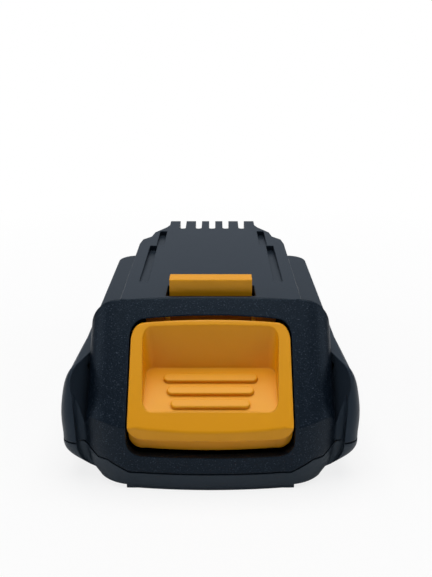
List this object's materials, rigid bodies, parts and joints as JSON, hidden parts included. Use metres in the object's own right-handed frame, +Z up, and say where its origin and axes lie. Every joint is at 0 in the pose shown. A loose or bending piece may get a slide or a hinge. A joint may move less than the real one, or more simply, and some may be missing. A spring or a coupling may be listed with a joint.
{
  "type": "power tool battery pack",
  "caption": "Slim slide-on power tool battery pack with a grey two-part shell, a yellow release button and latch, undercut rails and a slotted terminal end.",
  "frame": {"origin": "middle of the base, on the plane that the pack stands on", "axes": "+Z up out of the rail side, -Y towards the release button, +Y towards the terminal end, +X to the right seen from the button"},
  "size_m": [0.0812, 0.1171, 0.0504],
  "materials": {
    "housing_grey": "satin moulded",
    "latch_yellow": "satin moulded",
    "spring_steel": "drawn wire",
    "cell_wrap": "shrink sleeve",
    "insulating_paper": "fibre paper",
    "holder_plastic": "moulded",
    "nickel": "rolled strip",
    "board_laminate": "solder mask",
    "screw_steel": "blackened",
    "block_plastic": "moulded",
    "contact_metal": "tinned",
    "chip_black": "moulded",
    "can_metal": "drawn can"
  },
  "bodies": {
    "pack": {"upper_housing": "housing_grey", "lower_housing": "housing_grey", "latch_spring_left": "spring_steel", "latch_spring_right": "spring_steel", "cell_1": "cell_wrap", "cell_2": "cell_wrap", "cell_3": "cell_wrap", "cell_4": "cell_wrap", "cell_5": "cell_wrap", "cell_insulator_rings": "insulating_paper", "end_insulator_left": "insulating_paper", "end_insulator_right": "insulating_paper", "cell_holder_left": "holder_plastic", "cell_holder_right": "holder_plastic", "strip_negative": "nickel", "strip_link_1_2": "nickel", "strip_link_2_3": "nickel", "strip_link_3_4": "nickel", "strip_link_4_5": "nickel", "strip_positive": "nickel", "circuit_board": "board_laminate", "board_screws": "screw_steel", "housing_screws": "screw_steel", "terminal_block": "block_plastic", "power_clip_negative": "contact_metal", "power_clip_positive": "contact_metal", "signal_clip_left": "contact_metal", "signal_clip_centre": "contact_metal", "signal_clip_right": "contact_metal", "power_transistors": "chip_black", "controller_chip": "chip_black", "temperature_sensor": "chip_black", "board_capacitors": "can_metal"},
    "release": {"release_latch": "latch_yellow"}
  },
  "joints": [
    {"name": "latch_press", "type": "slide", "parent": "pack", "child": "release", "axis": [0, 0, -1], "range_m": [0, 0.0048], "stiffness_N_per_m": 1400, "springref_m": -0.0025, "deforming": ["latch_spring_left", "latch_spring_right"]}
  ]
}
